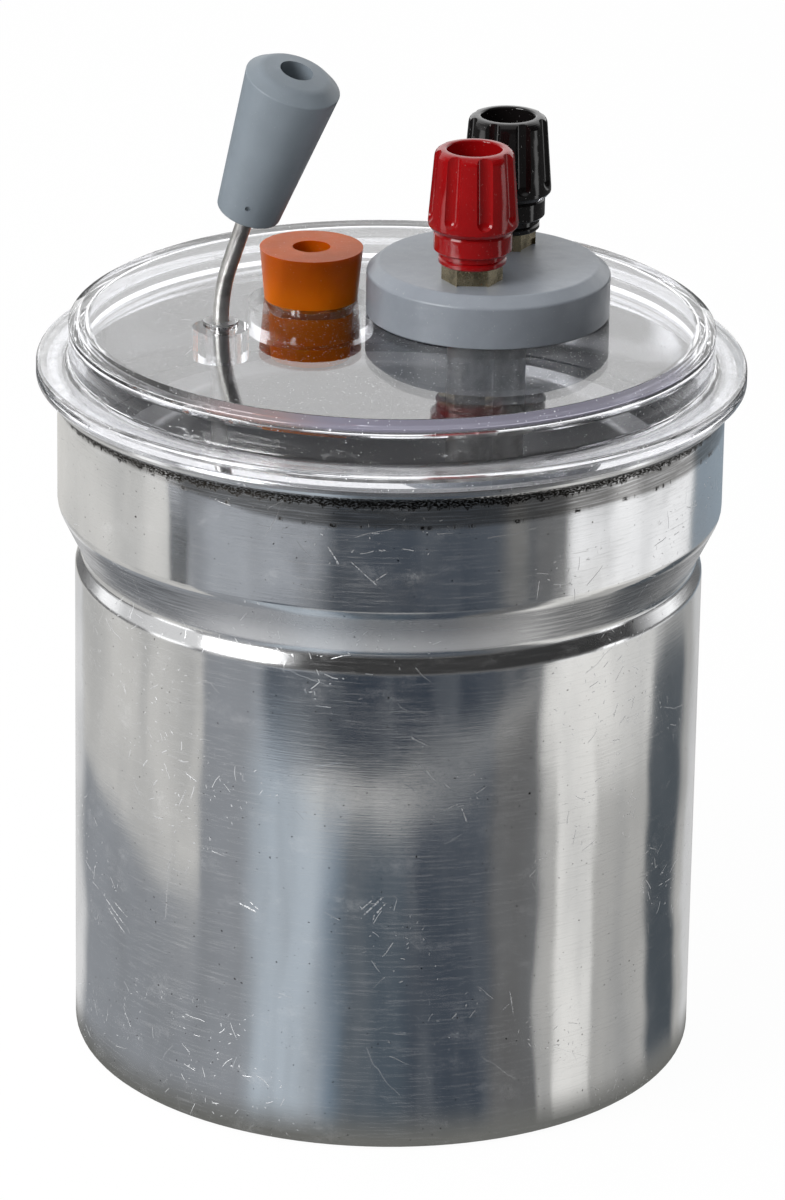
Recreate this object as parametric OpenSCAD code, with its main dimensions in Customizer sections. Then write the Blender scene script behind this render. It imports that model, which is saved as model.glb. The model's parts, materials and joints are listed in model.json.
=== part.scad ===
// Electric calorimeter: a spun aluminium can with an inner cup, a clear lid with a heater,
// a stirrer and a rubber stopper for the thermometer. Millimetres, +Z up, base on z = 0.

/* [Outer can] */
// Outer diameter of the can's body
can_d = 100; // [97:1:110]
// Height from the table to the top of the rolled rim
can_h = 112.8; // [104:0.2:130]
// Thickness of the aluminium sheet
can_wall = 0.8; // [0.6:0.1:1]
// How far the collar stands out from the body, each side
collar_flare = 2.8; // [2.2:0.1:4]
// Height of the straight collar, from the end of the shoulder to the rim
collar_h = 21.5; // [19:0.5:26]
// Height of the sloping shoulder
shoulder_h = 8.1; // [6.5:0.1:10]
// Depth of the groove under the shoulder
groove_depth = 1.1; // [0.6:0.1:1.5]
// Inner radius of the rolled rim's curl
curl_r = 0.6; // [0.5:0.1:0.8]
// Corner radius at the base
base_r = 2; // [1.5:0.1:4]
// Height of the raised middle of the base
base_rise = 1; // [0.6:0.1:2]
// Width of the standing ring round the raised middle
stand_w = 12; // [8:1:20]

/* [Inner cup and its support ring] */
// Air gap between the can and the cup
air_gap = 8.2; // [7:0.1:9]
// Thickness of the cup's sheet
cup_wall = 0.8; // [0.5:0.1:1]
// Gap between the can's base and the cup
cup_clear = 7; // [4:0.2:12]
// Width of the cup's flange
cup_flange = 4.6; // [3:0.1:5.5]
// Corner radius at the cup's base
cup_r = 4; // [2:0.5:6]
// Thickness of the support ring
ring_t = 3; // [2:0.1:4]
// Height of the support ring above the top of the shoulder
ring_lift = 6.1; // [5:0.1:8]

/* [Lid] */
// Height of the lid from the rim to its flat top
lid_h = 8.8; // [7:0.1:14]
// Thickness of the flat top
plate_t = 2.5; // [2:0.1:3.5]
// Thickness of the raised wall
cap_wall = 2.4; // [1.8:0.1:3]
// How far the raised wall stands in from the can's mouth
cap_inset = 1; // [0.6:0.1:2]
// Width and height of the bevel round the flat top
bevel = [1.8, 1.1]; // [0.8:0.1:2.2]
// Thickness of the flange
flange_t = 2.1; // [1.6:0.1:3]
// How far the flange stands out past the rim
flange_over = 1.3; // [1:0.1:2.5]
// Depth of the lip round the flange's edge
lip_h = 0.6; // [0.4:0.1:1]
// Depth of the skirt that centres the lid in the can
skirt_h = 2.5; // [1.5:0.1:4]
// Thickness of the skirt
skirt_t = 1.6; // [1.2:0.1:2.2]
// Depth of the two bosses under the flat top
boss_h = 5; // [3:0.1:7]
// Wall of the stopper's boss
stopper_boss_wall = 1.8; // [1.4:0.1:2.2]
// Wall of the stirrer's boss
stirrer_boss_wall = 2.2; // [1.6:0.1:2.6]

/* [Heater head] */
// Centre of the heater's disc on the lid
disc_at = [15, 2.8]; // [0:0.1:20]
// Diameter of the disc
disc_d = 38.5; // [34:0.5:42]
// Height of the disc
disc_h = 8.3; // [6:0.1:11]
// Width and height of the disc's bevel
disc_bevel = [1.9, 1.6]; // [0.5:0.1:2.5]
// Distance between the two binding posts
post_pitch = 19; // [18:0.1:21]
// Angle of the line through the posts, from +Y towards +X
post_turn = 16.5; // [10:0.5:25]
// Width across the flats of a post's hexagon
hex_af = 8.3; // [7.8:0.1:9]
// Height of the hexagon
hex_h = 2.8; // [2.4:0.1:4]
// Diameter of a post's threaded stem
stem_d = 6; // [5.6:0.1:6.4]
// Diameter of the plug socket in the stem
socket_d = 4; // [3.6:0.1:4.2]
// Diameter of the stud under the hexagon
stud_d = 3.9; // [3:0.1:4]
// Depth of the stud's thread in the heater rod
stud_grip = 8; // [5:0.5:12]

/* [Knobs and collars] */
// Height of a knob
knob_h = 12.9; // [12:0.1:15]
// Diameter of a knob at its lip
knob_d = 14.15; // [13.6:0.05:15]
// Height of the lip above a knob's lower end
knob_lip_h = 1.3; // [1:0.1:2]
// Diameter of a knob near its top
knob_top_d = 12.3; // [11.8:0.1:13]
// Number of flutes round a knob
flutes = 8; // [6:1:10]
// Turn of the red knob's flutes
red_turn = -75; // [-90:1:90]
// Turn of the black knob's flutes
black_turn = -68; // [-90:1:90]
// Radius of a flute
flute_r = 1.55; // [1:0.05:1.8]
// Depth of a flute
flute_depth = 0.8; // [0.4:0.05:1]
// Diameter of the well in the top of a knob
well_d = 8.6; // [8:0.1:9]
// Depth of the well
well_h = 4.2; // [4:0.1:5]
// Outer diameter of the brass insert in a knob
insert_d = 9; // [8.4:0.1:9.6]
// Height of the insert above a knob's lower end
insert_lift = 1; // [0.5:0.1:2]
// Height of a collar
collar_ring_h = 5.5; // [4.5:0.1:7]
// Diameter of a collar's upper part
collar_ring_d = 12.3; // [11.6:0.1:12.8]
// Diameter of a collar's lower part
collar_foot_d = 10.7; // [10:0.1:11.2]
// Height of a collar's lower part
collar_foot_h = 1.9; // [1.5:0.1:2.5]

/* [Heating element] */
// Diameter of a heater rod
rod_d = 7.4; // [6.4:0.1:8]
// Height of the rods' lower ends above the cup's floor
rod_clear = 20.2; // [18.5:0.1:30]
// Diameter of the resistance wire
wire_d = 0.7; // [0.5:0.05:0.8]
// Radius of the wire's coil at its centre line
coil_r = 2; // [1.6:0.1:2.4]
// Number of curls in the coil
curls = 16; // [10:1:16]
// Diameter of a clamp screw
clamp_d = 2.4; // [2:0.1:3]
// Height of the clamp screws above the rods' lower ends
clamp_lift = 4; // [3.5:0.1:8]
// Height of the insulating bar above the rods' lower ends
bar_lift = 19; // [10:1:50]
// Height and width of the insulating bar
bar_size = [5, 10.6]; // [10:0.1:14]

/* [Thermometer stopper] */
// Centre of the stopper on the lid
stopper_at = [-13, 8.8]; // [-18:0.1:18]
// Diameter of the stopper's wide end
stopper_d = 16.4; // [15.5:0.1:17]
// Diameter of the stopper's narrow end
stopper_foot_d = 12.6; // [12:0.1:13.5]
// Length of the stopper
stopper_h = 20; // [18:0.5:24]
// How far the stopper stands out above the lid
stopper_out = 8.3; // [6:0.1:10]
// Diameter of the thermometer's hole
thermo_d = 6; // [5:0.1:7]

/* [Stirrer] */
// Place of the stirrer's rod on the lid
stirrer_at = [-26.9, -5]; // [-30:0.1:30]
// Diameter of the stirrer's rod and ring
stir_d = 2.6; // [2.2:0.1:3]
// Direction in which the rod leans, from +X
lean_turn = -38; // [-180:1:180]
// Angle by which the rod leans
lean = 21; // [10:1:30]
// Radius of the bend in the rod
bend_r = 26; // [15:1:35]
// Straight length of rod between the bend and the handle
rod_free = 10.2; // [6:0.1:20]
// Height of the ring above the cup's floor
stir_clear = 4.7; // [3.5:0.1:5]
// Gap between the ring and the cup's wall
stir_gap = 5; // [4:0.1:6]
// Wall of the guide bush
bush_wall = 0.9; // [0.7:0.1:1.2]
// Length of the handle up to its rim
handle_h = 24.2; // [20:0.1:30]
// Diameter of the handle's foot
handle_foot_d = 10.1; // [9:0.1:12]
// Diameter of the handle's rim
handle_d = 15.1; // [14:0.1:17]
// Height of the handle's domed top above its rim
dome_h = 2; // [1.2:0.1:3]
// Diameter of the hole in the handle's top
handle_hole_d = 5.3; // [4:0.1:6]
// Depth of that hole
handle_hole_h = 12; // [8:0.5:13]
// Depth of the rod in the handle
rod_grip = 12; // [8:0.5:13]

/* [Fits] */
// Gap between turning, sliding and screwed pieces, each side
fit = 0.05; // [0.03:0.01:0.08]
// Gap between the lid's skirt and the can's mouth
lid_gap = 0.3; // [0.2:0.05:0.5]

/* [Hidden] */
$fn = 96;
eps = 0.01;

// Radii and heights of the can
body_r = can_d / 2;
neck_r = body_r - groove_depth;
collar_r = body_r + collar_flare;
mouth_r = collar_r - can_wall;
shoulder_z = can_h - collar_h;
neck_z = shoulder_z - shoulder_h;
curl_out = curl_r + can_wall;
curl_z = can_h - curl_out;
rim_r = collar_r + curl_r + curl_out;
stand_r = body_r - base_r - stand_w;

// The shoulder's inner face, on which the support ring sits
slope = [collar_r - neck_r, shoulder_h];
slope_in = [-slope.y, slope.x] / norm(slope);
function shoulder_in(r) = neck_z + slope_in.y * can_wall
  + (r - neck_r - slope_in.x * can_wall) * slope.y / slope.x;

// Radii and heights of the cup and its support ring
ring_r = mouth_r - lid_gap;
ring_z = shoulder_z + ring_lift;
ring_foot_r = ring_r - ring_t;
cup_out_r = body_r - can_wall - air_gap;
cup_in_r = cup_out_r - cup_wall;
cup_z = base_rise + can_wall + cup_clear;
floor_z = cup_z + cup_wall;

// Radii and heights of the lid
cap_r = mouth_r - cap_inset;
skirt_r = mouth_r - lid_gap;
flange_r = rim_r + flange_over;
plate_z = can_h + lid_h;
under_z = plate_z - plate_t;
boss_z = under_z - boss_h;

// Heights of the heater and its posts
post_line = [sin(post_turn), cos(post_turn)];
red_at = disc_at - post_line * post_pitch / 2;
black_at = disc_at + post_line * post_pitch / 2;
hex_z = plate_z + disc_h;
collar_z = hex_z + hex_h;
knob_z = collar_z + collar_ring_h + 0.1;
web_z = knob_z + knob_h - well_h;
web_t = 0.6;
stem_z = web_z;
socket_z = hex_z + 1.3;
rod_z = floor_z + rod_clear;
tap_depth = stud_grip + 1;
stud_hole_d = stud_d + 0.4;

// Places of the stopper and the stirrer
stopper_z = plate_z + stopper_out - stopper_h;
stopper_slope = (stopper_d - stopper_foot_d) / 2 / stopper_h;
bend_z = plate_z + 0.6;
stir_z = floor_z + stir_clear;
stir_reach = norm(stirrer_at);
stir_ring_r = (stir_reach + cup_in_r - stir_gap - stir_d / 2) / 2;
stir_ring_at = -stirrer_at / stir_reach * (stir_ring_r - stir_reach);
bush_r = stir_d / 2 + fit + bush_wall;

function unit(v) = v / norm(v);
function flat(lists) = [for (l = lists) for (p = l) p];

// Points of an arc about a centre, from angle a to angle b
function arc(centre, r, a, b, steps = 6) =
  [for (i = [0:steps]) centre + r * [cos(a + (b - a) * i / steps), sin(a + (b - a) * i / steps)]];

// Points of a rounded corner at b, between a and c
function corner(a, b, c, r) =
  let (
    u = unit(a - b),
    w = unit(c - b),
    half = acos(u * w) / 2,
    centre = b + unit(u + w) * r / sin(half),
    from = b + u * r / tan(half) - centre,
    to = b + w * r / tan(half) - centre,
    start = atan2(from.y, from.x),
    turn = atan2(from.x * to.y - from.y * to.x, from * to)
  )
  arc(centre, r, start, start + turn);

// An outline of [r, z, corner radius] points with its corners rounded
function rounded(pts) =
  let (p = [for (q = pts) [q.x, q.y]], last = len(pts) - 1)
  flat([for (i = [0:last])
    i == 0 || i == last || pts[i].z == 0 ? [p[i]] : corner(p[i - 1], p[i], p[i + 1], pts[i].z)]);

// A path moved to its left by w
function beside(path, w) =
  [for (i = [0:len(path) - 1])
    let (t = unit(path[min(i + 1, len(path) - 1)] - path[max(i - 1, 0)]))
    path[i] + w * [-t.y, t.x]];

function reversed(list) = [for (i = [len(list) - 1:-1:0]) list[i]];

// A turned sheet of thickness w whose outer side follows a path
module spun_sheet(path, w) {
  rotate_extrude($fn = 144) polygon(concat(path, reversed(beside(path, w))));
}

module at(place, z = 0) {
  translate([place.x, place.y, z]) children();
}

module outer_can() {
  wall = rounded([
    [0, base_rise, 0],
    [stand_r - base_rise, base_rise, 0.8],
    [stand_r, 0, 0.8],
    [body_r, 0, base_r],
    [body_r, neck_z - 2.6, 2],
    [neck_r, neck_z, 1.6],
    [collar_r, shoulder_z, 3],
    [collar_r, curl_z, 0]
  ]);
  curl = arc([collar_r + curl_r, curl_z], curl_r, 170, -80, 14);
  color("silver") spun_sheet(concat(wall, curl), can_wall);
}

module support_ring() {
  seat_gap = 0.1;
  foot_z = shoulder_in(ring_foot_r) + seat_gap;
  seat_z = shoulder_in(ring_r) + seat_gap;
  color("dimgray") rotate_extrude($fn = 144) polygon([
    [cup_out_r + lid_gap, ring_z],
    [cup_out_r + lid_gap, ring_z - ring_t],
    [ring_foot_r, ring_z - ring_t],
    [ring_foot_r, foot_z],
    [ring_r, seat_z],
    [ring_r, ring_z]
  ]);
}

module inner_cup() {
  path = rounded([
    [0, cup_z, 0],
    [cup_out_r, cup_z, cup_r],
    [cup_out_r, ring_z, 0.3],
    [cup_out_r + cup_flange, ring_z, 0]
  ]);
  color("lightgray") spun_sheet(path, cup_wall);
}

module lid_shell() {
  lip_r = rim_r + 0.5;
  rotate_extrude($fn = 144) polygon(rounded([
    [0, under_z, 0],
    [cap_r - cap_wall, under_z, 1],
    [cap_r - cap_wall, can_h, 0],
    [skirt_r - skirt_t, can_h - skirt_h, 0],
    [skirt_r, can_h - skirt_h, 0.4],
    [skirt_r, can_h, 0],
    [lip_r, can_h, 0],
    [lip_r, can_h - lip_h, 0],
    [flange_r, can_h - lip_h, 0.3],
    [flange_r, can_h + flange_t, 0.7],
    [cap_r, can_h + flange_t, 0.5],
    [cap_r, plate_z - bevel.y, 0.4],
    [cap_r - bevel.x, plate_z, 0.4],
    [0, plate_z, 0]
  ]));
}

module lid() {
  color([0.85, 0.88, 0.9, 0.4]) difference() {
    union() {
      lid_shell();
      at(stirrer_at, boss_z) cylinder(r = bush_r + stirrer_boss_wall, h = boss_h + 1);
      at(stopper_at, boss_z) cylinder(r = stopper_d / 2 + stopper_boss_wall, h = boss_h + 1);
    }
    at(stirrer_at, boss_z - 1) cylinder(r = bush_r + fit, h = plate_z - boss_z + 2);
    at(stopper_at) stopper_cone(fit);
    for (p = [red_at, black_at]) at(p, under_z - 1) cylinder(d = stud_hole_d, h = plate_t + 2);
  }
}

module heater_disc() {
  r = disc_d / 2;
  color("slategray") difference() {
    at(disc_at, plate_z) rotate_extrude() polygon(rounded([
      [0, 0, 0],
      [r, 0, 0.3],
      [r, disc_h - disc_bevel.y, 0.6],
      [r - disc_bevel.x, disc_h, 0.8],
      [0, disc_h, 0]
    ]));
    for (p = [red_at, black_at]) at(p, plate_z - 1) cylinder(d = stud_hole_d, h = disc_h + 2);
  }
}

module post(place, notch_turn) {
  hex_r = hex_af / 2 / cos(30);
  notch_h = 1.2;
  notch_depth = 0.4;
  color("darkgoldenrod") at(place) difference() {
    union() {
      translate([0, 0, hex_z]) cylinder(r = hex_r, h = hex_h, $fn = 6);
      translate([0, 0, collar_z - eps]) cylinder(d = stem_d, h = stem_z - collar_z + eps);
      translate([0, 0, under_z - stud_grip])
        cylinder(d = stud_d, h = hex_z - under_z + stud_grip + eps);
    }
    translate([0, 0, socket_z]) cylinder(d = socket_d, h = stem_z);
    rotate([0, 0, notch_turn]) translate([-hex_r / 2, -hex_af / 2 - 1, hex_z - 1])
      cube([hex_r, 1 + notch_depth, 1 + notch_h]);
  }
}

module collar_ring(place, tint) {
  top_r = collar_ring_d / 2;
  foot_r = collar_foot_d / 2;
  hole_r = stem_d / 2 + fit;
  groove = 0.25;
  groove_z = collar_foot_h * 0.4;
  color(tint) at(place, collar_z) rotate_extrude() polygon([
    [hole_r, 0],
    [foot_r - groove, 0],
    [foot_r, groove],
    [foot_r, groove_z],
    [foot_r - groove, groove_z + groove],
    [foot_r, groove_z + 2 * groove],
    [foot_r, collar_foot_h],
    [top_r - groove, collar_foot_h + groove],
    [top_r, collar_foot_h + 2 * groove],
    [top_r, collar_ring_h - 2 * groove],
    [top_r - groove, collar_ring_h],
    [hole_r, collar_ring_h]
  ]);
}

module insert(place) {
  low_z = knob_z + insert_lift;
  high_z = web_z - web_t - 0.2;
  color("goldenrod") at(place, low_z) difference() {
    cylinder(d = insert_d, h = high_z - low_z);
    translate([0, 0, -1]) cylinder(d = stem_d + 2 * fit, h = high_z - low_z + 2);
  }
}

module knob_body() {
  lip_r = knob_d / 2;
  top_r = knob_top_d / 2;
  hole_r = insert_d / 2 + fit;
  web_r = stem_d / 2 + 0.3;
  web_top = knob_h - well_h;
  rotate_extrude() polygon(rounded([
    [hole_r, 0, 0],
    [lip_r - 0.6, 0, 0.2],
    [lip_r, 0.7, 0.3],
    [lip_r, knob_lip_h, 0.4],
    [top_r, knob_h, 1.3],
    [well_d / 2, knob_h, 0.35],
    [well_d / 2 - 0.3, web_top, 0],
    [web_r, web_top, 0],
    [web_r, web_top - web_t, 0],
    [hole_r, web_top - web_t, 0],
    [hole_r, 0, 0]
  ]));
}

module knob(place, tint, turn) {
  low_z = knob_lip_h + flute_r;
  surface = [knob_d / 2, knob_top_d / 2] + [1, 1] * (flute_r - flute_depth);
  tilt = atan((surface.x - surface.y) / (knob_h - knob_lip_h));
  color(tint) at(place, knob_z) difference() {
    knob_body();
    for (i = [0:flutes - 1])
      rotate([0, 0, turn + i * 360 / flutes])
        translate([surface.x - tan(tilt) * flute_r, 0, low_z]) rotate([0, -tilt, 0]) {
          cylinder(r = flute_r, h = knob_h, $fn = 32);
          sphere(r = flute_r, $fn = 32);
        }
  }
}

module heater_rod(place, side) {
  chamfer = 0.5;
  color("gainsboro") at(place) difference() {
    union() {
      translate([0, 0, rod_z + chamfer]) cylinder(d = rod_d, h = under_z - rod_z - chamfer);
      translate([0, 0, rod_z])
        cylinder(d1 = rod_d - 2 * chamfer, d2 = rod_d, h = chamfer + eps);
    }
    translate([0, 0, under_z - tap_depth]) cylinder(d = stud_d + 2 * fit, h = tap_depth + 1);
    clamp_place(side) translate([0, 0, -rod_d * 0.3]) cylinder(d = clamp_d + 2 * fit, h = rod_d);
  }
}

// Puts children on a clamp screw's axis, with z = 0 on the rod's surface
module clamp_place(side) {
  translate([0, 0, rod_z + clamp_lift]) rotate([0, 0, 90 - post_turn]) rotate([0, side * 90, 0])
    translate([0, 0, rod_d / 2]) children();
}

module clamp_screws() {
  head_d = clamp_d * 1.8;
  head_h = 1.5;
  slot = 0.6;
  color("goldenrod") for (k = [[red_at, -1], [black_at, 1]])
    at(k[0]) clamp_place(k[1]) difference() {
      union() {
        translate([0, 0, -rod_d * 0.28]) cylinder(d = clamp_d, h = rod_d * 0.28 + eps);
        cylinder(d = head_d, h = head_h);
      }
      translate([-head_d, -slot / 2, head_h - slot]) cube([2 * head_d, slot, 1]);
    }
}

module rod_bar() {
  half = post_pitch / 2;
  end_r = bar_size.y / 2;
  outline = concat(arc([0, half], end_r, 0, 180, 12), arc([0, -half], end_r, 180, 360, 12));
  color("saddlebrown") at(disc_at, rod_z + bar_lift) rotate([0, 0, -post_turn]) difference() {
    linear_extrude(bar_size.x) polygon(outline);
    for (y = [-half, half])
      translate([0, y, -1]) cylinder(d = rod_d + 2 * fit, h = bar_size.x + 2);
  }
}

// The resistance wire: a helix whose centre line is a half circle between the rods
coil_steps = 8;
coil_lead = 1;
coil_bend = post_pitch / 2;
coil_across = [post_line.x, post_line.y, 0];
coil_side = [-post_line.y, post_line.x, 0];
function ease(t) = let (k = max(0, min(1, t))) k * k * (3 - 2 * k);
function coil_out(bend) = -cos(bend) * coil_across - [0, 0, sin(bend)];
function coil_radial(turns) =
  cos(360 * turns) * coil_out(180 * turns / curls) + sin(360 * turns) * coil_side;
function coil_point(turns) =
  [disc_at.x, disc_at.y, rod_z - coil_lead] + coil_bend * coil_out(180 * turns / curls)
  + coil_r * ease(turns) * ease(curls - turns) * coil_radial(turns);
coil_turns = [for (i = [0:curls * coil_steps]) i / coil_steps];
coil_path = concat(
  [[red_at.x, red_at.y, rod_z]],
  [for (t = coil_turns) coil_point(t)],
  [[black_at.x, black_at.y, rod_z]]
);
coil_radials = concat([coil_radial(0)], [for (t = coil_turns) coil_radial(t)], [coil_radial(curls)]);
coil_last = len(coil_path) - 1;
coil_gap = min([for (i = [0:coil_last - coil_steps + 2])
  for (j = [i + coil_steps - 2:coil_last]) norm(coil_path[i] - coil_path[j])]) - wire_d;

// A closed tube along a path, with one ring of sides at each point
module tube(path, radials, d, sides) {
  last = len(path) - 1;
  rings = [for (i = [0:last])
    let (
      t = i == 0 || i == last ? [0, 0, i == 0 ? -1 : 1] : unit(path[i + 1] - path[i - 1]),
      n = unit(radials[i] - (radials[i] * t) * t),
      b = cross(t, n)
    )
    for (k = [0:sides - 1]) path[i] + d / 2 * (cos(360 * k / sides) * n + sin(360 * k / sides) * b)];
  walls = [for (i = [0:last - 1]) for (k = [0:sides - 1])
    let (a = i * sides + k, b = i * sides + (k + 1) % sides)
    each [[a, b + sides, b], [a, a + sides, b + sides]]];
  caps = [for (k = [1:sides - 2])
    each [[0, k, k + 1], [last * sides, last * sides + k + 1, last * sides + k]]];
  polyhedron(rings, concat(walls, caps));
}

module heater_coil() {
  echo(str("least gap of the heater coil to itself: ", coil_gap, " mm"));
  color("darkgray") tube(coil_path, coil_radials, wire_d, 6);
}

// The stopper's cone, made wider by a gap, reaching past both ends when it cuts a seat
module stopper_cone(gap = 0) {
  over = gap > 0 ? 2 : 0;
  translate([0, 0, stopper_z - over]) cylinder(
    r1 = stopper_foot_d / 2 + gap - over * stopper_slope,
    r2 = stopper_d / 2 + gap + over * stopper_slope,
    h = stopper_h + 2 * over
  );
}

module thermometer_stopper() {
  color("chocolate") at(stopper_at) difference() {
    stopper_cone();
    translate([0, 0, stopper_z - 1]) cylinder(d = thermo_d, h = stopper_h + 2);
  }
}

module stirrer_bush() {
  low_z = boss_z - 0.4;
  high_z = plate_z + 0.4;
  rim_z = plate_z + 0.02;
  color("whitesmoke") at(stirrer_at) difference() {
    union() {
      translate([0, 0, low_z]) cylinder(r = bush_r, h = high_z - low_z);
      translate([0, 0, rim_z]) cylinder(r = bush_r + 0.5, h = high_z - rim_z);
    }
    translate([0, 0, low_z - 1]) cylinder(r = stir_d / 2 + fit, h = high_z - low_z + 2);
  }
}

// Puts children on the leaning part of the rod, with z = 0 at the end of the bend
module leaning() {
  at(stirrer_at, bend_z) rotate([0, 0, lean_turn])
    translate([bend_r * (1 - cos(lean)), 0, bend_r * sin(lean)]) rotate([0, lean, 0]) children();
}

// The bend is drawn a hair thinner and reaches a degree into both straight parts
module stirrer_rod() {
  thin = 0.04;
  reach = 1;
  color("darkgray") union() {
    at(stirrer_at, stir_z - stir_d / 2) cylinder(d = stir_d, h = bend_z - stir_z + stir_d / 2);
    at(stirrer_at, bend_z) rotate([0, 0, lean_turn]) translate([bend_r, 0, 0]) rotate([90, 0, 0])
      rotate([0, 0, 180 - lean - reach]) rotate_extrude(angle = lean + 2 * reach)
        translate([bend_r, 0]) circle(d = stir_d - thin);
    leaning() cylinder(d = stir_d, h = rod_free + rod_grip);
  }
}

module stirrer_ring() {
  hole_r = stir_d / 2 + fit;
  hub_wall = 1.4;
  hub_h = 5;
  low_z = stir_z - stir_d / 2;
  color("darkgray") difference() {
    union() {
      at(stir_ring_at, stir_z) rotate_extrude($fn = 144)
        translate([stir_ring_r, 0]) circle(d = stir_d, $fn = 32);
      at(stirrer_at, low_z) cylinder(r = hole_r + hub_wall, h = hub_h);
    }
    at(stirrer_at, low_z - 1) cylinder(r = hole_r, h = hub_h + 2);
  }
}

module stirrer_handle() {
  foot_r = handle_foot_d / 2;
  rim_r = handle_d / 2;
  hole_r = handle_hole_d / 2;
  top_z = handle_h + dome_h;
  dimple_z = 3.4;
  dimple_d = 0.9;
  color("slategray") leaning() translate([0, 0, rod_free]) difference() {
    rotate_extrude() polygon(rounded([
      [0, 0, 0],
      [foot_r, 0, 0.4],
      [rim_r, handle_h, 0.3],
      [rim_r * 0.72, handle_h + dome_h * 0.8, 2.4],
      [hole_r, top_z, 0],
      [0, top_z, 0]
    ]));
    translate([0, 0, top_z - handle_hole_h]) cylinder(r = hole_r, h = handle_hole_h + 1);
    translate([0, 0, -1]) cylinder(d = stir_d + 2 * fit, h = rod_grip + 1.3);
    rotate([0, 0, -60]) translate([foot_r - 0.1, 0, dimple_z]) rotate([0, 90, 0])
      cylinder(d = dimple_d, h = 2);
  }
}

module red_post() { post(red_at, 0); }
module black_post() { post(black_at, 60); }
module red_collar() { collar_ring(red_at, "firebrick"); }
module black_collar() { collar_ring(black_at, "#202022"); }
module red_insert() { insert(red_at); }
module black_insert() { insert(black_at); }
module red_knob() { knob(red_at, "firebrick", red_turn); }
module black_knob() { knob(black_at, "#202022", black_turn); }
module red_heater_rod() { heater_rod(red_at, -1); }
module black_heater_rod() { heater_rod(black_at, 1); }

outer_can();
support_ring();
inner_cup();
lid();
heater_disc();
red_post();
red_collar();
red_insert();
red_knob();
black_post();
black_collar();
black_insert();
black_knob();
red_heater_rod();
black_heater_rod();
rod_bar();
clamp_screws();
heater_coil();
thermometer_stopper();
stirrer_bush();
stirrer_rod();
stirrer_ring();
stirrer_handle();
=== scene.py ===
"""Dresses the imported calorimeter: materials, a pale studio and the camera at the photograph's angle."""
import json
import math

import bpy
from mathutils import Matrix, Vector

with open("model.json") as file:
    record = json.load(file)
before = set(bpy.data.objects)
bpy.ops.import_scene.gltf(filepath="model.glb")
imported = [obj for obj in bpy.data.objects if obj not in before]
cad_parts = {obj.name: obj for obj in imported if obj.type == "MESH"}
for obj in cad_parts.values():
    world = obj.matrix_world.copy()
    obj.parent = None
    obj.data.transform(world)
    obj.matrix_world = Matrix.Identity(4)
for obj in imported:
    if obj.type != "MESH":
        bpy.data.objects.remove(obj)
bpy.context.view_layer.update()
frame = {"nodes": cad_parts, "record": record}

MM = 0.001
BODY_R = 50.0                 # radius of the can's body in mm, by which its wall is unrolled
LID_R = 51.0                  # the same for the lid's wall
NECK = (80.2, 83.6)           # heights on the can in mm: the rounded foot of the shoulder,
SHOULDER = (83.9, 90.4)       # the slope up to the collar,
SHADE_FOOT = (104.6, 107.6)   # the lower edge of the painted shade under the rim at the right and at the left,
GRIME_FOOT = 109.0            # the upper grime's lower edge,
GRIME_TOP = (110.5, 110.9)    # its upper edge, which is soft,
CURL = (109.9, 110.3)         # and the start of the rolled rim
CAN_ONLY = (46.0, 47.5)       # radii in mm between the cup, which has a like metal, and the can
COLLAR_ONLY = (51.9, 52.5)    # and between the can's body and its collar
# Places on the lid, each by the radii and the heights in mm over which it starts
LID_FLANGE = (51.9, 52.4), (113.5, 114.2)
LID_WALL = (50.2, 50.8), (114.5, 115.5)
LID_BEVEL = (48.4, 49.0), (119.6, 120.4)
LID_TOP = (121.4, 121.55)     # the heights alone


def dim(colour, share):
    """A colour times a number."""
    return tuple(share * c for c in colour)


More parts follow.
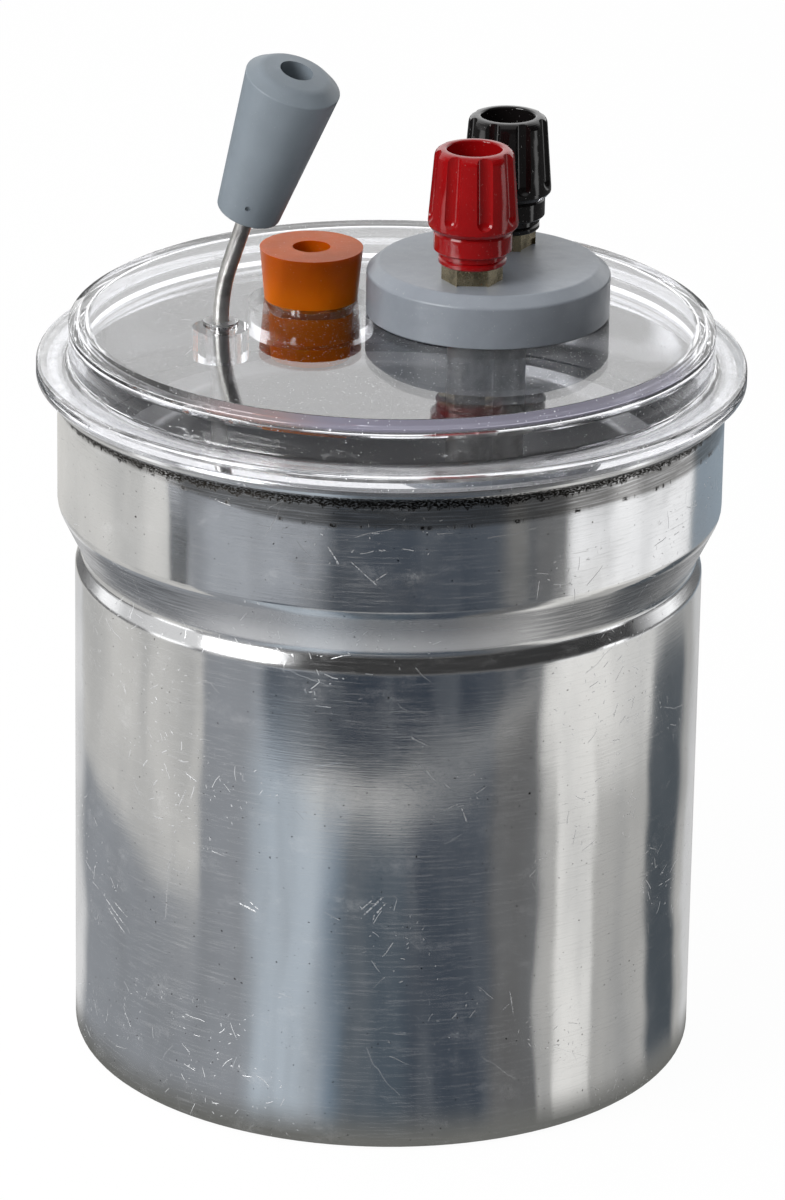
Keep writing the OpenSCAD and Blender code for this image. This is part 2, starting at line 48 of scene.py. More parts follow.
# ---------------------------------------------------------------- node helpers
class Net:
    """A shader's node tree, with short calls for the nodes that this scene uses. Each returns a socket,
    and takes sockets or plain values."""

    def __init__(self, tree):
        self.tree = tree

    def add(self, kind, values=None, **settings):
        """A new node of this kind, with its inputs and settings filled in."""
        node = self.tree.nodes.new("ShaderNode" + kind)
        for key, value in settings.items():
            setattr(node, key, value)
        for key, value in (values or {}).items():
            self.put(value, node.inputs[key])
        return node

    def put(self, value, socket):
        """Links a socket to this one, or sets a plain value on it. A colour needs no alpha."""
        if isinstance(value, bpy.types.NodeSocket):
            self.tree.links.new(value, socket)
        elif socket.type == "RGBA":
            socket.default_value = (*value, 1.0)
        else:
            socket.default_value = value

    def math(self, operation, a, b=0.0, clamp=False):
        node = self.add("Math", {0: a, 1: b}, operation=operation)
        node.use_clamp = clamp
        return node.outputs[0]

    def plus(self, a, b):
        return self.math("ADD", a, b)

    def minus(self, a, b, clamp=False):
        return self.math("SUBTRACT", a, b, clamp)

    def times(self, a, b):
        return self.math("MULTIPLY", a, b)

    def over(self, a, b):
        return self.math("DIVIDE", a, b)

    def most(self, a, b, clamp=False):
        return self.math("MAXIMUM", a, b, clamp)

    def size(self, a):
        return self.math("ABSOLUTE", a)

    def square(self, a):
        return self.times(a, a)

    def polar(self, x, y):
        """The angle round the Z axis, which is 0 at the front, and the distance from it."""
        turn = self.math("ARCTAN2", x, self.times(y, -1.0))
        return turn, self.math("SQRT", self.plus(self.square(x), self.square(y)))

    def smooth(self, value, low, high, out_low=0.0, out_high=1.0):
        """out_low below low, out_high above high, and a smooth step between."""
        return self.add(
            "MapRange",
            {"Value": value, "From Min": low, "From Max": high, "To Min": out_low, "To Max": out_high},
            interpolation_type="SMOOTHSTEP",
        ).outputs[0]

    def between(self, value, low, high, soft):
        """1 from low to high, with soft ends."""
        start = self.smooth(self.minus(value, low), -soft, soft)
        return self.times(start, self.smooth(self.minus(high, value), -soft, soft))

    def beyond(self, radius, height, starts):
        """1 where the radius and the height are both past their starts."""
        return self.times(self.smooth(radius, *starts[0]), self.smooth(height, *starts[1]))

    def mix(self, factor, a, b):
        """A mix of two colours."""
        node = self.add("Mix", data_type="RGBA")
        for value, index in ((factor, 0), (a, 6), (b, 7)):
            self.put(value, node.inputs[index])
        return node.outputs[2]

    def blend(self, factor, a, b):
        """A mix of two numbers."""
        node = self.add("Mix", data_type="FLOAT")
        for value, index in ((factor, 0), (a, 2), (b, 3)):
            self.put(value, node.inputs[index])
        return node.outputs[0]

    def noise(self, point, scale, detail=3.0, roughness=0.5):
        return self.add("TexNoise", {
            "Vector": point, "Scale": scale, "Detail": detail, "Roughness": roughness,
        }).outputs["Fac"]

    def streaked(self, uv, across, up, detail=3.0, roughness=0.5):
        """Noise with one scale across an unrolled wall and another up it."""
        return self.noise(self.vector("MULTIPLY", uv, (across, up, 1.0)), 1.0, detail, roughness)

    def vector(self, operation, a, b):
        return self.add("VectorMath", {0: a, 1: b}, operation=operation).outputs[0]

    def split(self, vector):
        node = self.add("SeparateXYZ", {0: vector})
        return node.outputs[0], node.outputs[1], node.outputs[2]

    def join(self, x, y, z=0.0):
        return self.add("CombineXYZ", {0: x, 1: y, 2: z}).outputs[0]

    def turned(self, vector, angle):
        """The vector turned about Z. Returns its x and y."""
        node = self.add("VectorRotate", {"Vector": vector, "Angle": angle}, rotation_type="Z_AXIS")
        return self.split(node.outputs[0])[:2]

    def bump(self, height, distance, normal=None):
        """A bump, on top of the normal of another if that is given."""
        values = {"Height": height, "Distance": distance, "Strength": 1.0}
        if normal is not None:
            values["Normal"] = normal
        return self.add("Bump", values).outputs[0]

    def place(self):
        """The point on the object in millimetres, which moves with the piece."""
        point = self.add("TexCoord").outputs["Object"]
        return self.add("VectorMath", {0: point, "Scale": 1.0 / MM}, operation="SCALE").outputs[0]

    def facing_up(self):
        """The height of the surface's normal: 1 on a face that looks straight up."""
        return self.split(self.add("NewGeometry").outputs["Normal"])[2]

    def scratches(self, uv, cell, length, width, share):
        """Straight scratches in random directions, at most one in each cell. 1 on a scratch."""
        cells = self.add("TexVoronoi", {"Vector": uv, "Scale": 1.0 / cell}, voronoi_dimensions="2D")
        offset = self.vector("SUBTRACT", uv, cells.outputs["Position"])
        turn, there, size = self.split(cells.outputs["Color"])
        along, across = self.turned(offset, self.times(turn, 2 * math.pi))
        line = self.smooth(self.size(across), width * 0.4, width, 1.0, 0.0)
        ends = self.smooth(self.minus(self.times(size, length), self.size(along)), 0.0, 0.3)
        chosen = self.smooth(there, share - 0.01, share + 0.01, 1.0, 0.0)
        return self.times(self.times(line, ends), chosen)


def material(name):
    """A new material with one Principled shader. Returns (material, net, shader)."""
    made = bpy.data.materials.new(name)
    made.use_nodes = True
    made.node_tree.nodes.clear()
    net = Net(made.node_tree)
    shader = net.add("BsdfPrincipled")
    output = net.add("OutputMaterial")
    net.put(shader.outputs[0], output.inputs["Surface"])
    return made, net, shader


def set_inputs(net, shader, **values):
    """Fills the shader's inputs, with _ for each space in their names."""
    for key, value in values.items():
        net.put(value, shader.inputs[key.replace("_", " ")])


# ---------------------------------------------------------------- metals
# Single scratches on the can's front: place along the wall and height of the middle, half length and half
# width in mm, and slant in degrees
STROKES = [
    (-51.5, 30.1, 5.0, 0.10, -20),
    (-50.6, 28.6, 3.6, 0.13, -24),
    (-49.0, 30.9, 2.6, 0.09, -15),
    (-21.8, 39.4, 2.1, 0.16, -18),
    (-20.6, 39.9, 1.1, 0.10, -35),
    (-1.5, 41.9, 2.5, 0.12, 47),
    (-0.5, 41.3, 1.8, 0.09, 50),
    (-2.5, 42.1, 1.4, 0.09, 44),
    (-7.9, 100.6, 2.0, 0.08, -58),
    (-3.3, 97.8, 3.6, 0.06, -44),
    (-1.2, 97.4, 1.6, 0.06, 38),
    (12.4, 57.0, 1.6, 0.10, -70),
    (21.0, 24.0, 2.4, 0.07, -80),
    (-34.0, 55.0, 2.2, 0.06, 64),
]


def struck(net, uv):
    """1 on the scratches of STROKES."""
    marks = 0.0
    for along_wall, height, half_length, half_width, slant in STROKES:
        offset = net.vector("SUBTRACT", uv, (along_wall, height, 0.0))
        along, across = net.turned(offset, -math.radians(slant))
        line = net.smooth(net.size(across), half_width * 0.5, half_width * 1.3, 1.0, 0.0)
        ends = net.smooth(net.size(along), half_length * 0.5, half_length, 1.0, 0.0)
        marks = net.most(marks, net.times(line, ends))
    gaps = net.smooth(net.noise(uv, 2.4, 3.0, 0.6), 0.42, 0.54)
    return net.times(marks, gaps)


def wear(net, uv, worn):
    """Scratches and pits of an unrolled wall, each times the amount of wear."""
    jitter = net.add("TexNoise", {"Vector": uv, "Scale": 0.12}).outputs["Color"]
    shift = net.add("VectorMath", {0: jitter, "Scale": 3.0}, operation="SCALE").outputs[0]
    bent = net.vector("ADD", uv, shift)
    zones = net.smooth(net.noise(net.vector("MULTIPLY", uv, (1.0, 1.3, 1.0)), 0.035, 2.0, 0.5), 0.47, 0.60)
    long_ones = net.times(net.scratches(bent, 13.0, 6.0, 0.075, 0.22), 0.4)
    short_ones = net.scratches(bent, 2.7, 2.0, 0.055, 0.40)
    tiny = net.scratches(bent, 1.0, 0.45, 0.075, 0.25)
    fine = net.times(net.most(short_ones, tiny), zones)
    fine = net.most(fine, struck(net, uv))
    scratch = net.times(net.most(long_ones, fine), worn)
    pits = net.times(net.smooth(net.noise(uv, 1.7, 2.0, 0.4), 0.725, 0.745), worn)
    return scratch, pits


def rim_grime_and_shade(net, uv, x, z, collar, streaks):
    """The rolled rim, the band of painted shade below it, and the black grime along both of the band's edges.
    """
    uneven = net.streaked(uv, 0.05, 0.0)
    low_edge = net.plus(net.smooth(x, -10.0, -42.0, *SHADE_FOOT), net.times(uneven, 1.4))
    above = net.minus(z, low_edge)
    curl = net.times(net.smooth(z, *CURL), collar)
    # Painted shade: a dark band on the collar below the rolled rim
    darkening = net.times(net.smooth(above, -0.5, 0.6), net.minus(collar, curl, clamp=True))
    darkening = net.times(darkening, net.smooth(streaks, 0.30, 0.56, 0.45, 1.0))
    crust = net.smooth(net.streaked(uv, 2.2, 4.0, 4.0, 0.75), 0.43, 0.49)
    thick = net.smooth(net.streaked(uv, 0.5, 0.0, 5.0, 0.75), 0.36, 0.68)
    low_side = net.minus(GRIME_FOOT, net.times(thick, 1.1))
    top_line = net.smooth(net.minus(z, low_side), -0.15, 0.15)
    top_line = net.times(top_line, net.smooth(z, *GRIME_TOP, 1.0, 0.0))
    ragged = net.smooth(net.streaked(uv, 0.3, 0.0, 4.0, 0.7), 0.52, 0.60)
    low_line = net.times(net.between(above, -0.1, 0.5, 0.15), ragged)
    grime = net.times(net.times(net.most(top_line, low_line), collar), crust)
    return curl, darkening, grime


def spun_aluminium(name, tint=(0.87, 0.875, 0.885), rough=0.085, worn=1.0):
    """Spun aluminium: fine lines round the wall, random scratches, painted shade on the shoulder and under
    the rim, and grime under the rim.
    """
    made, net, shader = material(name)
    point = net.place()
    x, y, z = net.split(point)
    turn, radius = net.polar(x, y)
    uv = net.join(net.times(turn, BODY_R), z)
    lines = net.streaked(uv, 0.13, 2.6, 5.0, 0.65)
    wave = net.streaked(uv, 0.05, 0.03, 1.5, 0.5)
    streaks = net.streaked(uv, 0.10, 3.4, 4.0, 0.6)
    cloud = net.noise(point, 0.045, 4.0, 0.6)
    scratch, pits = wear(net, uv, worn)
    brushed = net.times(net.smooth(lines, 0.60, 0.72), net.smooth(cloud, 0.40, 0.60))
    strokes = net.times(net.smooth(lines, 0.48, 0.68), net.blend(net.smooth(cloud, 0.38, 0.62), 0.35, 1.0))
    curl, darkening, grime = rim_grime_and_shade(net, uv, x, z, net.smooth(radius, *COLLAR_ONLY), streaks)

    # Painted light and shade on the shoulder: matt and pale at the front, and dark with streaks at both sides
    can_wall = net.smooth(radius, *CAN_ONLY)
    shoulder = net.times(net.between(z, *SHOULDER, 0.4), can_wall)
    neck = net.times(net.between(z, *NECK, 0.3), can_wall)
    rise = net.smooth(z, 84.0, 89.5)
    aside = net.smooth(net.size(net.plus(x, 4.0)), 18.0, 32.0)
    shoulder_shade = net.blend(aside, net.blend(rise, 0.35, 0.55), net.smooth(streaks, 0.62, 0.42, 0.50, 0.96))
    matt = net.blend(aside, net.blend(rise, 0.50, 0.24), net.blend(rise, 0.14, 0.05))

    colour = net.mix(net.smooth(cloud, 0.35, 0.7), tint, dim(tint, 0.93))
    for mask, share, over in (
        (scratch, 0.7, (0.95, 0.96, 0.98)),
        (pits, None, (0.16, 0.15, 0.15)),
        (strokes, 0.12, (0.45, 0.45, 0.45)),
        # painted shade on the shoulder
        (shoulder, shoulder_shade, (0.30, 0.305, 0.32)),
        # painted shade under the rolled rim
        (darkening, 0.72, (0.12, 0.112, 0.10)),
        (grime, None, (0.022, 0.019, 0.016)),
    ):
        colour = net.mix(mask if share is None else net.times(mask, share), colour, over)

    roughness = net.plus(net.times(net.smooth(cloud, 0.5, 0.75), 0.08), rough)
    roughness = net.blend(net.times(brushed, 0.6), roughness, 0.32)
    for mask, extra in ((net.most(shoulder, curl), 0.13), (neck, 0.08), (darkening, 0.06)):
        roughness = net.plus(roughness, net.times(mask, extra))
    roughness = net.blend(scratch, roughness, 0.45)
    roughness = net.blend(grime, roughness, 0.55)

    # Worn places lose some of the metal's gloss
    patches = net.smooth(net.streaked(uv, 0.11, 0.16, 5.0, 0.65), 0.52, 0.72)
    hazy = net.times(patches, net.smooth(net.noise(uv, 1.1, 4.0, 0.7), 0.40, 0.62, 0.3, 1.0))
    dull = net.most(net.times(scratch, 0.38), net.times(hazy, 0.12 * worn))
    dull = net.most(dull, net.times(strokes, 0.09))
    dull = net.most(dull, net.times(shoulder, matt))
    dull = net.times(dull, net.minus(1.0, grime))

    normal = net.bump(wave, 0.45 * MM)
    normal = net.bump(lines, 0.007 * MM, normal)
    normal = net.bump(scratch, 0.012 * MM, normal)
    round_it = net.add("Tangent", direction_type="RADIAL", axis="Z").outputs[0]
    set_inputs(net, shader, Base_Color=colour, Metallic=net.minus(1.0, dull), Roughness=roughness,
               Normal=normal, Anisotropic=0.85, Anisotropic_Rotation=0.25, Tangent=round_it)
    return made


def plain_metal(name, tint, rough, dark, grain=6.0, speckle=0.0):
    """Bare metal with a grain, darker stains and fine marks."""
    made, net, shader = material(name)
    point = net.place()
    darkening = net.smooth(net.noise(point, 0.35, 4.0, 0.6), 0.4, 0.68)
    spots = net.smooth(net.noise(point, grain, 3.0, 0.6), 0.5, 0.75)
    colour = net.mix(darkening, tint, dark)
    colour = net.mix(net.times(spots, speckle), colour, (0.9, 0.89, 0.84))
    roughness = net.plus(net.times(net.noise(point, grain * 0.6), 0.25), rough - 0.1)
    normal = net.bump(net.noise(point, grain, 3.0, 0.6), 0.02 * MM)
    set_inputs(net, shader, Base_Color=colour, Roughness=roughness, Normal=normal, Metallic=1.0)
    return made


# ---------------------------------------------------------------- plastics and rubbers
def moulded_parts(name, tint, rough=0.3, grain=0.012, gloss=0.5, dust=0.25, variation=0.12):
    """Moulded plastic or rubber: slight mottling, fine grain, dust, and a duller top.
    Returns (material, net, shader, point)."""
    made, net, shader = material(name)
    point = net.place()
    dark = dim(tint, 1.0 - variation)
    light = tuple(min(1.0, c) for c in dim(tint, 1.0 + variation))
    colour = net.mix(net.smooth(net.noise(point, 0.18, 4.0, 0.6), 0.3, 0.7), dark, light)
    specks = net.smooth(net.noise(point, 3.2, 2.0, 0.5), 0.7, 0.74)
    colour = net.mix(net.times(specks, dust), colour, (0.8, 0.8, 0.78))
    roughness = net.plus(net.times(net.noise(point, 0.5, 4.0), 0.14), rough - 0.07)
    roughness = net.plus(roughness, net.times(net.smooth(net.facing_up(), 0.6, 1.0), 0.08))
    normal = net.bump(net.noise(point, 5.0, 4.0, 0.6), grain * MM)
    normal = net.bump(net.noise(point, 0.25, 2.0, 0.5), 0.10 * MM, normal)
    set_inputs(net, shader, Base_Color=colour, Roughness=roughness, Normal=normal, Specular_IOR_Level=gloss)
    return made, net, shader, point


def moulded(*looks, **more_looks):
    """The material of moulded_parts alone."""
    return moulded_parts(*looks, **more_looks)[0]


def clear_plastic(name):
    """Clear acrylic with dust specks, fine scratches, frosted patches on the wall and a violet bevel."""
    made, net, shader = material(name)
    point = net.place()
    x, y, z = net.split(point)
    turn, radius = net.polar(x, y)
    uv = net.join(net.times(turn, LID_R), z)
    specks = net.smooth(net.noise(point, 2.9, 1.0, 0.4), 0.745, 0.76)
    frost = net.smooth(net.streaked(uv, 0.08, 0.25, 5.0, 0.7), 0.58, 0.70, 0.05, 1.0)
    frost = net.times(frost, net.beyond(radius, z, LID_WALL))
    cloudy = net.smooth(net.noise(point, 0.25, 4.0, 0.6), 0.35, 0.65, 0.16, 0.42)
    frost = net.most(frost, net.times(net.beyond(radius, z, LID_FLANGE), cloudy))
    marks = net.times(net.scratches(net.join(x, y), 7.0, 3.0, 0.05, 0.25), net.smooth(z, *LID_TOP))
    haze = net.most(net.times(frost, 0.8), net.most(specks, net.times(marks, 0.35)), clamp=True)

    # The bevel round the top is reddish at the front's left and violet from there to the right
    bevel = net.times(net.beyond(radius, z, LID_BEVEL), net.smooth(net.facing_up(), 0.97, 0.85))
    bevel = net.times(bevel, net.between(turn, -0.62, 1.15, 0.15))
    tint = net.mix(net.smooth(turn, -0.40, -0.15), (0.42, 0.25, 0.26), (0.30, 0.27, 0.46))

    colour = net.mix(net.times(bevel, 0.7), (0.955, 0.958, 0.975), tint)
    colour = net.mix(haze, colour, (0.90, 0.91, 0.93))
    transmission = net.minus(1.0, net.times(haze, 0.75))
    transmission = net.minus(transmission, net.times(bevel, 0.35), clamp=True)
    set_inputs(net, shader, Base_Color=colour, Roughness=net.blend(haze, 0.01, 0.55),
               Transmission_Weight=transmission, IOR=1.49)
    return made


def amber_rubber(name):
    """Amber silicone: warm and a little translucent, with painted light that makes it brighter towards its
    foot.
    """
    made, net, shader, point = moulded_parts(name, (0.37, 0.064, 0.0), rough=0.34, gloss=0.16, dust=0.35,
                                             variation=0.10)
    height = net.split(point)[2]
    own = shader.inputs["Base Color"].links[0].from_socket
    # Painted light: the colour gets brighter towards the foot
    painted_glow = net.mix(net.smooth(height, 122.0, 127.0), (0.68, 0.150, 0.0), (0.54, 0.104, 0.0))
    painted_glow = net.mix(net.smooth(height, 120.5, 121.5), (0.80, 0.19, 0.0), painted_glow)
    colour = net.mix(net.smooth(height, 124.0, 131.0, 0.85, 0.0), own, painted_glow)
    set_inputs(net, shader, Base_Color=colour, Subsurface_Weight=0.4, Subsurface_Radius=(1.0, 0.22, 0.02),
               Subsurface_Scale=3.0 * MM)
    return made


def natural_nylon(name):
    """Unfilled nylon: milky and translucent."""
    made, net, shader, _ = moulded_parts(name, (0.90, 0.91, 0.92), rough=0.2, dust=0.0, variation=0.04)
    set_inputs(net, shader, Transmission_Weight=0.93, IOR=1.53)
    return made


def laminate(name):
    """Brown paper laminate: fine layers across its height."""
    made, net, shader = material(name)
    layers = net.noise(net.vector("MULTIPLY", net.place(), (0.1, 0.1, 4.0)), 1.0)
    colour = net.mix(layers, (0.16, 0.075, 0.03), (0.27, 0.14, 0.06))
    roughness = net.plus(net.times(layers, 0.2), 0.4)
    set_inputs(net, shader, Base_Color=colour, Roughness=roughness, Normal=net.bump(layers, 0.02 * MM))
    return made


LOOKS = {
    "polished_aluminium": spun_aluminium("polished_aluminium"),
    "cup_aluminium": spun_aluminium("cup_aluminium", (0.37, 0.372, 0.38), 0.44, 0.5),
    "dark_plastic": moulded("dark_plastic", (0.030, 0.031, 0.034), 0.5),
    "clear_plastic": clear_plastic("clear_plastic"),
    "grey_plastic": moulded("grey_plastic", (0.237, 0.260, 0.293), 0.33, variation=0.05),
    "brass": plain_metal("brass", (0.50, 0.42, 0.27), 0.26, (0.25, 0.21, 0.13), 4.0),
    "red_plastic": moulded("red_plastic", (0.26, 0.003, 0.004), 0.10, 0.003, 0.36, dust=0.1, variation=0.06),
    "black_plastic": moulded("black_plastic", (0.006, 0.005, 0.005), 0.09, 0.003, dust=0.3),
    "steel": plain_metal("steel", (0.80, 0.79, 0.765), 0.36, (0.55, 0.54, 0.52), 5.0, 0.6),
    "brown_laminate": laminate("brown_laminate"),
    "resistance_wire": plain_metal("resistance_wire", (0.42, 0.40, 0.37), 0.35, (0.25, 0.22, 0.20), 8.0),
    "orange_rubber": amber_rubber("orange_rubber"),
    "grey_rubber": moulded("grey_rubber", (0.180, 0.211, 0.240), 0.42, 0.006, dust=0.1, variation=0.04),
    "white_nylon": natural_nylon("white_nylon"),
}
for part in frame["record"]["subparts"]:
    for place in frame["nodes"][part["node"]].material_slots:
        place.material = LOOKS[part["material_slot"]]


# ---------------------------------------------------------------- finer rings on the lid
def finer_rings(name, level, least):
    """A modifier's node group that divides the faces and puts the new points of rings about the Z axis on
    their true circles, for rings of more than the least radius. The mesh keeps its own normals."""
    group = bpy.data.node_groups.new(name, "GeometryNodeTree")
    for way in ("INPUT", "OUTPUT"):
        group.interface.new_socket("Geometry", in_out=way, socket_type="NodeSocketGeometry")

    def add(kind, values=None, **settings):
        node = group.nodes.new(kind)
        for key, value in settings.items():
            setattr(node, key, value)
        for key, value in (values or {}).items():
            if isinstance(value, bpy.types.NodeSocket):
                group.links.new(value, node.inputs[key])
            else:
                node.inputs[key].default_value = value
        return node

    def calc(operation, *values, kind="ShaderNodeMath"):
        return add(kind, dict(enumerate(values)), operation=operation).outputs[0]

    def on_domain(domain, value):
        return add("GeometryNodeFieldOnDomain", {0: value}, domain=domain, data_type="FLOAT").outputs[0]

    def keep(mesh, domain, kind, value):
        """Stores a value on the mesh. Returns (mesh, stored value)."""
        node = add("GeometryNodeCaptureAttribute", {0: mesh}, domain=domain)
        node.capture_items.new(kind, "kept")
        group.links.new(value, node.inputs[1])
        return node.outputs[0], node.outputs[1]

    point = add("GeometryNodeInputPosition").outputs[0]
    flat = calc("MULTIPLY", point, (1.0, 1.0, 0.0), kind="ShaderNodeVectorMath")
    radius = add("ShaderNodeVectorMath", {0: flat}, operation="LENGTH").outputs["Value"]
    normal = add("GeometryNodeInputNormal")
    mesh, true_radius = keep(add("NodeGroupInput").outputs[0], "POINT", "FLOAT", radius)
    mesh, own_normal = keep(mesh, "CORNER", "VECTOR", normal.outputs["Normal"])
    mesh = add("GeometryNodeSubdivideMesh", {"Mesh": mesh, "Level": level}).outputs[0]

    # Points inside a level face stay: those of the other faces move, and those on the faces' open edges
    up = add("ShaderNodeSeparateXYZ", {0: normal.outputs["True Normal"]}).outputs[2]
    steep = on_domain("FACE", calc("LESS_THAN", calc("ABSOLUTE", up), 0.99999))
    faces = add("GeometryNodeInputMeshEdgeNeighbors").outputs[0]
    edge = on_domain("EDGE", calc("LESS_THAN", faces, 1.5))
    moves = calc("MULTIPLY", calc("ADD", steep, edge), calc("GREATER_THAN", radius, least))
    moves = calc("GREATER_THAN", moves, 0.01)
    ratio = calc("DIVIDE", true_radius, radius)
    scale = add("ShaderNodeCombineXYZ", {0: ratio, 1: ratio, 2: 1.0}).outputs[0]
    moved = calc("MULTIPLY", point, scale, kind="ShaderNodeVectorMath")
    mesh = add("GeometryNodeSetPosition", {"Geometry": mesh, "Selection": moves, "Position": moved})
    mesh = add("GeometryNodeSetMeshNormal", {"Mesh": mesh.outputs[0], "Custom Normal": own_normal},
               mode="FREE", domain="CORNER")
    add("NodeGroupOutput", {0: mesh.outputs[0]})
    return group


rings = frame["nodes"]["lid"].modifiers.new("finer_rings", "NODES")
rings.node_group = finer_rings("finer_rings", level=1, least=40.0 * MM)


# ---------------------------------------------------------------- studio
def rays(net):
    """How the background is seen. Returns factors for by the camera, through clear plastic, and in gloss."""
    seen = net.add("LightPath")
    bounced = net.math("GREATER_THAN", seen.outputs["Glossy Depth"], 0.5)
    passed = seen.outputs["Is Transmission Ray"]
    through = net.times(passed, net.minus(1.0, bounced))
    mirror = net.most(seen.outputs["Is Glossy Ray"], net.times(passed, bounced))
    return seen.outputs["Is Camera Ray"], through, mirror


CREAM = (1.0, 0.985, 0.945)
WHITE = (1.0, 1.0, 1.0)
PALE = (0.94, 0.99, 1.06)
COOL = (0.87, 0.975, 1.075)
BLUE = (0.82, 0.97, 1.11)
DEEP = (0.76, 0.96, 1.17)

# What the can's wall mirrors: soft cards and gaps, by their place on the wall as the camera sees it.
# (left, right) run from -1 at the wall's left edge to 1 at its right, (low, high) are heights on it in mm.
# A card lies over those above it in the list.
CARDS = [
    # left, right, low, high, level, tint, softness across, softness up
    (-1.10, -0.38, -20, 130, 0.30, PALE, 0.03, 4),      # the left side
    (-0.24, 0.08, -20, 52, 0.105, DEEP, 0.04, 6),       # faint light beside the window
    (-0.26, -0.13, -20, 64, 0.24, DEEP, 0.035, 9),      # half-light at the window's edge
    (-0.42, -0.19, -20, 66, 0.52, COOL, 0.045, 9),      # a bluish window
    (0.34, 0.50, -20, 84, 0.130, WHITE, 0.03, 3),       # a dark grey gap
    (0.49, 1.10, -20, 130, 0.45, CREAM, 0.010, 4),      # the right side
    (0.545, 0.67, -20, 130, 0.82, CREAM, 0.008, 4),     # a bright strip in it
    (0.50, 0.86, 60, 92, 0.82, CREAM, 0.015, 9),        # and a bright sheet above
    (0.845, 0.940, 2, 80, 0.085, BLUE, 0.012, 6),       # a dark gap at the right
    (0.965, 1.10, -20, 92, 0.62, WHITE, 0.012, 4),      # the background at the right edge
    (-1.10, -0.965, -20, 130, 0.72, WHITE, 0.015, 4),   # and at the left edge
    (-1.10, -0.655, 92, 130, 0.68, CREAM, 0.008, 3),    # the collar: a cream card at the left
    (-0.66, -0.595, 91, 108, 0.02, BLUE, 0.010, 1),     # with a dark patch beside it
    (-0.54, -0.185, 92, 130, 0.43, PALE, 0.04, 3),      # a grey window
    (0.335, 0.41, 92, 130, 0.20, CREAM, 0.025, 3),      # a cream streak
    (0.42, 0.53, 92, 130, 0.15, WHITE, 0.015, 3),       # a dark gap
    (0.53, 0.90, 92, 130, 1.00, WHITE, 0.012, 3),       # a white sheet
    (0.90, 1.10, 92, 130, 0.34, BLUE, 0.02, 3),         # and a blue-grey edge
]
CAMERA_SLOPE = math.tan(math.radians(22.0))   # about how steeply the photograph's camera looks down


def place_on_wall(net, x, y):
    """Where the camera sees this point of the floor in the can's wall: across it, and up it in mm.
    The wall's angle is found by a few steps of the law of reflection for a far camera."""
    turn, reach = net.polar(x, y)
    ratio = net.over(BODY_R, net.most(reach, BODY_R))
    wall = net.times(turn, 0.5)
    for _ in range(4):
        sine = net.times(ratio, net.math("SINE", wall))
        wall = net.times(net.plus(turn, net.math("ARCSINE", sine)), 0.5)
    beyond = net.minus(net.times(wall, 2.0), turn)
    wall_ahead = net.times(net.math("COSINE", wall), BODY_R)
    ahead = net.minus(net.times(reach, net.math("COSINE", beyond)), wall_ahead)
    return net.math("SINE", wall), net.times(ahead, CAMERA_SLOPE)


def mirrored_floor(net, x, y):
    """The colour of the floor that polished metal sees."""
    across, up = place_on_wall(net, x, y)
    sway = net.noise(net.join(net.times(across, 2.5), net.times(up, 0.05)), 1.0, 2.0)
    across = net.plus(across, net.times(net.minus(sway, 0.5), 0.05))
    colour = (0.055, 0.068, 0.087)
    for left, right, low, high, level, tint, soft, soft_up in CARDS:
        mask = net.times(net.between(across, left, right, soft), net.between(up, low, high, soft_up))
        colour = net.mix(mask, colour, dim(tint, level))

    # The cream panel at the left has a curved lower edge
    low = net.plus(36.0, net.times(net.square(net.plus(across, 0.62)), 140.0))
    panel = net.times(net.smooth(net.minus(up, low), -2.5, 2.5), net.between(across, -0.97, -0.578, 0.008))
    panel = net.times(panel, net.smooth(up, 90.0, 94.0, 1.0, 0.0))
    colour = net.mix(panel, colour, dim(CREAM, 0.60))

    # A dark bowl under the shoulder, with a light rim below it that fades to the right
    off = net.over(net.plus(across, 0.08), 0.45)
    bowl = net.minus(up, net.plus(62.5, net.times(net.square(off), 12.2)))
    front = net.between(across, -0.26, 0.51, 0.06)
    rim = net.times(net.between(bowl, -9.0, -0.5, 3.0), front)
    rim = net.times(rim, net.smooth(across, 0.02, 0.20, 0.95, 0.45))
    colour = net.mix(rim, colour, dim(CREAM, 0.66))
    inside = net.times(net.smooth(bowl, -0.8, 0.8), net.smooth(up, 88.0, 92.0, 1.0, 0.0))
    colour = net.mix(net.times(inside, front), colour, (0.028, 0.038, 0.054))
    streak = net.noise(net.join(net.times(across, 11.0), net.times(up, 0.02)), 1.0)
    colour = net.mix(net.smooth(streak, 0.40, 0.72, 0.0, 0.34), colour, (0.20, 0.21, 0.22))

    # Far off the cards give way to grey with two white strips, and at the can's foot to its shadow
    strips = net.plus(net.between(across, -0.72, -0.61, 0.015), net.between(across, 0.66, 0.73, 0.015))
    far = net.mix(strips, dim(WHITE, 0.13), dim(WHITE, 1.7))
    colour = net.mix(net.smooth(up, 125.0, 150.0), colour, far)
    return net.mix(net.smooth(up, 7.0, 1.0), colour, (0.16, 0.16, 0.15))


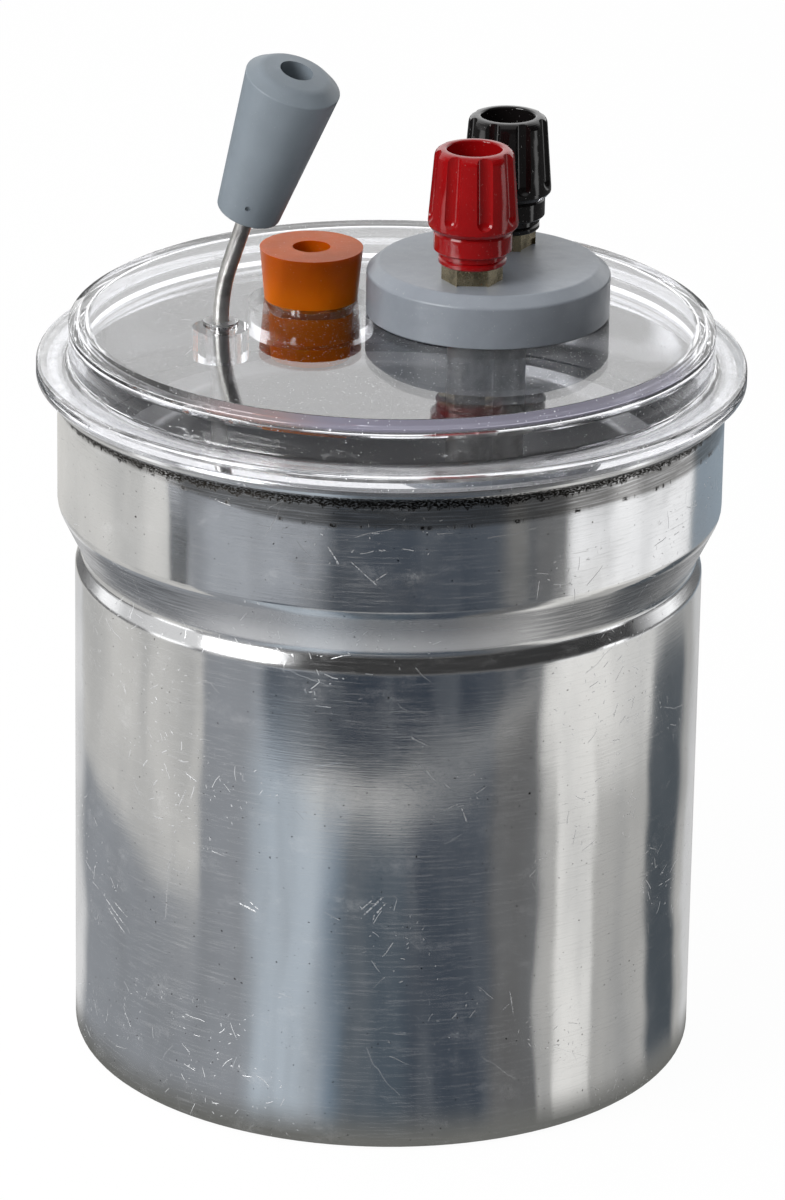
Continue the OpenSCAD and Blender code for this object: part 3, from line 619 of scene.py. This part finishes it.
def studio_floor():
    """A pale floor: white to the camera and through clear plastic, soft cards to polished metal."""
    bpy.ops.mesh.primitive_plane_add(size=12.0, location=(0.0, 0.0, 0.0))
    floor = bpy.context.object
    floor.name = "floor"
    made = bpy.data.materials.new("floor")
    made.use_nodes = True
    made.node_tree.nodes.clear()
    net = Net(made.node_tree)
    x, y, _ = net.split(net.place())
    direct, through, mirror = rays(net)
    # The floor lights the object less at the right, and is darker near the can where the lid shows it
    shade = net.smooth(x, 0.0, 260.0, 0.90, 0.55)
    plain = net.add("BsdfDiffuse", {"Color": net.join(shade, shade, shade)})
    table = net.smooth(y, 250.0, 345.0, 0.26, 0.64)
    white = net.add("Emission", {"Color": WHITE, "Strength": net.blend(through, 1.0, table)})
    mirrored = net.add("Emission", {"Color": mirrored_floor(net, x, y), "Strength": 1.0})
    seen = net.times(net.most(direct, through), 0.97)
    pale = net.add("MixShader", {0: seen, 1: plain.outputs[0], 2: white.outputs[0]})
    both = net.add("MixShader", {0: mirror, 1: pale.outputs[0], 2: mirrored.outputs[0]})
    net.put(both.outputs[0], net.add("OutputMaterial").inputs["Surface"])
    floor.data.materials.append(made)


def studio_world():
    """White to the camera. Gloss sees a bright back and a dim front, as in a photographer's tent."""
    world = bpy.data.worlds.new("studio")
    bpy.context.scene.world = world
    world.use_nodes = True
    world.node_tree.nodes.clear()
    net = Net(world.node_tree)
    x, y, z = net.split(net.add("TexCoord").outputs["Generated"])
    back = net.blend(net.smooth(y, 0.10, 0.60), 0.035, 1.45)
    side = net.smooth(x, -1.0, -0.35, 0.7, 0.0)
    level = net.blend(net.smooth(z, 0.70, 0.95), net.most(back, side), 0.5)
    direct, through, mirror = rays(net)
    soft = net.times(net.smooth(z, 0.2, 0.95, 0.20, 1.24), net.smooth(x, -0.1, 0.8, 1.0, 0.45))
    strength = net.blend(mirror, soft, level)
    strength = net.blend(through, strength, 0.62)
    strength = net.blend(direct, strength, 1.0)
    background = net.add("Background", {"Color": WHITE, "Strength": strength})
    net.put(background.outputs[0], net.add("OutputWorld").inputs["Surface"])


def lamp(name, at, target, size, power):
    """A rectangular area lamp that points at the target."""
    data = bpy.data.lights.new(name, "AREA")
    data.shape = "RECTANGLE"
    data.size, data.size_y = size
    data.energy = power
    made = bpy.data.objects.new(name, data)
    made.location = at
    made.rotation_euler = (Vector(target) - Vector(at)).to_track_quat("-Z", "Y").to_euler()
    bpy.context.collection.objects.link(made)


def camera(rise, roll, distance, target, lens, shift):
    """The photograph's camera: its rise above the horizon and its roll are in degrees, the rest in metres
    and, for the lens, millimetres."""
    data = bpy.data.cameras.new("camera")
    data.lens = lens
    data.sensor_width = 36.0
    data.shift_x, data.shift_y = shift
    data.clip_start, data.clip_end = 0.05, 50.0
    made = bpy.data.objects.new("camera", data)
    rise = math.radians(rise)
    back = Vector((0.0, -math.cos(rise), math.sin(rise)))
    turn = (-back).to_track_quat("-Z", "Y").to_matrix().to_4x4() @ Matrix.Rotation(math.radians(roll), 4, "Z")
    made.matrix_world = Matrix.Translation(Vector(target) + back * distance) @ turn
    bpy.context.collection.objects.link(made)
    bpy.context.scene.camera = made


studio_floor()
studio_world()
lamp("key", at=(-0.98, -0.70, 0.80), target=(0.0, 0.0, 0.10), size=(0.7, 0.7), power=15.5)
camera(rise=21.325, roll=0.948, distance=1.0594, target=(0.0, 0.0, 0.067455), lens=198.1,
       shift=(0.0044, 0.0296))

scene = bpy.context.scene
scene.view_settings.view_transform = "Standard"
scene.cycles.max_bounces = 24
scene.cycles.transmission_bounces = 20
scene.cycles.glossy_bounces = 12
scene.cycles.transparent_max_bounces = 16
